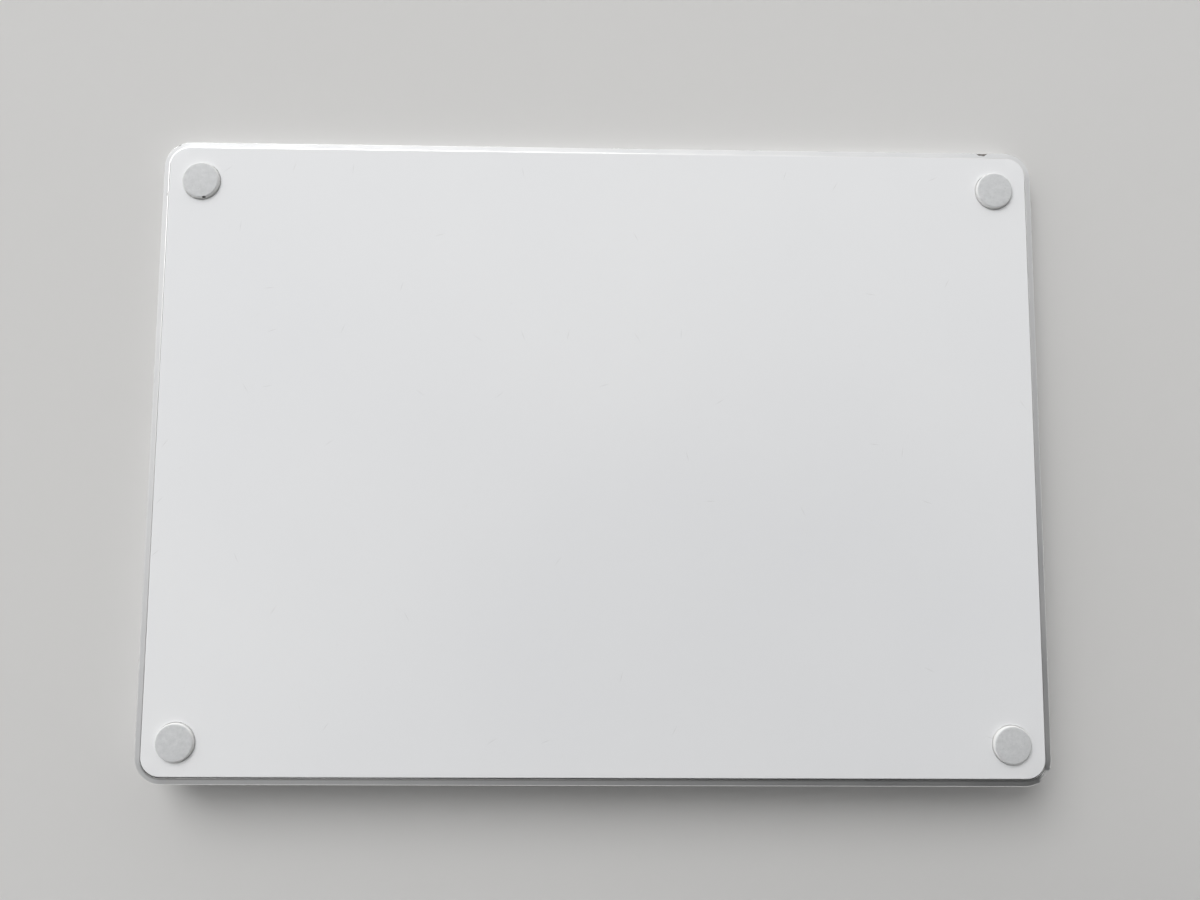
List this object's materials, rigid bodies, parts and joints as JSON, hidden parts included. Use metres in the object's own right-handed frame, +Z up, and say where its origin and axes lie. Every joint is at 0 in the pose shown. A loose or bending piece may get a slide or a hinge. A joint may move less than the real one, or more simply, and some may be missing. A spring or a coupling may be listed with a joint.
{
  "type": "trackpad",
  "caption": "Slim wedge-shaped wireless trackpad: a sprung glass touch surface over an aluminium tub with a plastic bottom cover, rubber feet, charging port and sliding power switch.",
  "frame": {"origin": "middle of the pad's outline in plan, at the height of the desk under the feet", "axes": "+X to the user's right, +Y from the thin front edge to the thick rear edge, +Z up from the desk"},
  "size_m": [0.16, 0.115, 0.0109],
  "materials": {
    "anodised_aluminium": "fine bead-blasted, clear anodised, satin",
    "white_plastic": "moulded, satin",
    "grey_rubber": "moulded, matt",
    "white_glass": "white coating on the back, finely etched top",
    "adhesive": "thin clear film",
    "circuit_board": "green solder mask",
    "black_plastic": "moulded, matt",
    "connector_plastic": "moulded, ivory",
    "steel": "stamped and plated",
    "spring_steel": "rolled strip, bright",
    "gel": "soft, clear",
    "copper": "enamelled wire and plated strip",
    "iron": "soft iron, dark",
    "pouch_foil": "laminated foil, dull",
    "flex_film": "amber film with printed tracks",
    "shutter_green": "moulded, bright green"
  },
  "bodies": {
    "base": {"housing": "anodised_aluminium", "bottom_cover": "white_plastic", "cover_adhesive": "adhesive", "foot_front_left": "grey_rubber", "foot_front_right": "grey_rubber", "foot_rear_left": "grey_rubber", "foot_rear_right": "grey_rubber", "flexure_front_left": "spring_steel", "flexure_front_right": "spring_steel", "flexure_rear_left": "spring_steel", "flexure_rear_right": "spring_steel", "strain_gauges": "flex_film", "gauge_flex": "flex_film", "flexure_screws": "steel", "haptic_bracket": "steel", "haptic_core": "iron", "haptic_coils": "copper", "haptic_screws": "steel", "battery_cell": "pouch_foil", "battery_adhesive": "adhesive", "battery_board": "circuit_board", "battery_lead": "flex_film", "main_board": "circuit_board", "board_chips": "black_plastic", "board_connectors": "connector_plastic", "shield_can": "steel", "radio_module": "steel", "antenna": "copper", "board_screws": "steel", "sensor_flex": "flex_film", "port_shell": "steel", "port_insulator": "black_plastic", "port_tongue": "black_plastic", "port_bracket": "steel", "port_screws": "steel", "switch_body": "black_plastic", "switch_bracket": "steel", "switch_flex": "flex_film", "switch_screws": "steel"},
    "suspension": {"gel_pads": "gel"},
    "touch_stage": {"touch_glass": "white_glass", "glass_bond": "adhesive", "sensor_board": "circuit_board", "touch_controller": "black_plastic", "sensor_connector": "black_plastic", "stiffener_plate": "steel", "haptic_armature": "iron"},
    "power_switch": {"switch_knob": "white_plastic", "switch_shutter": "shutter_green"}
  },
  "joints": [
    {"name": "touch_press", "type": "slide", "parent": "base", "child": "suspension", "axis": [0, 0.0521, -0.9986], "range_m": [0, 0.0002], "stiffness_N_per_m": 30000, "springref_m": -0.00003, "deforming": ["flexure_front_left", "flexure_front_right", "flexure_rear_left", "flexure_rear_right", "sensor_flex"]},
    {"name": "haptic_shake", "type": "slide", "parent": "suspension", "child": "touch_stage", "axis": [1, 0, 0], "range_m": [-0.00015, 0.00015], "stiffness_N_per_m": 20000},
    {"name": "power_switch_slide", "type": "slide", "parent": "base", "child": "power_switch", "axis": [1, 0, 0], "range_m": [0, 0.0025]}
  ]
}
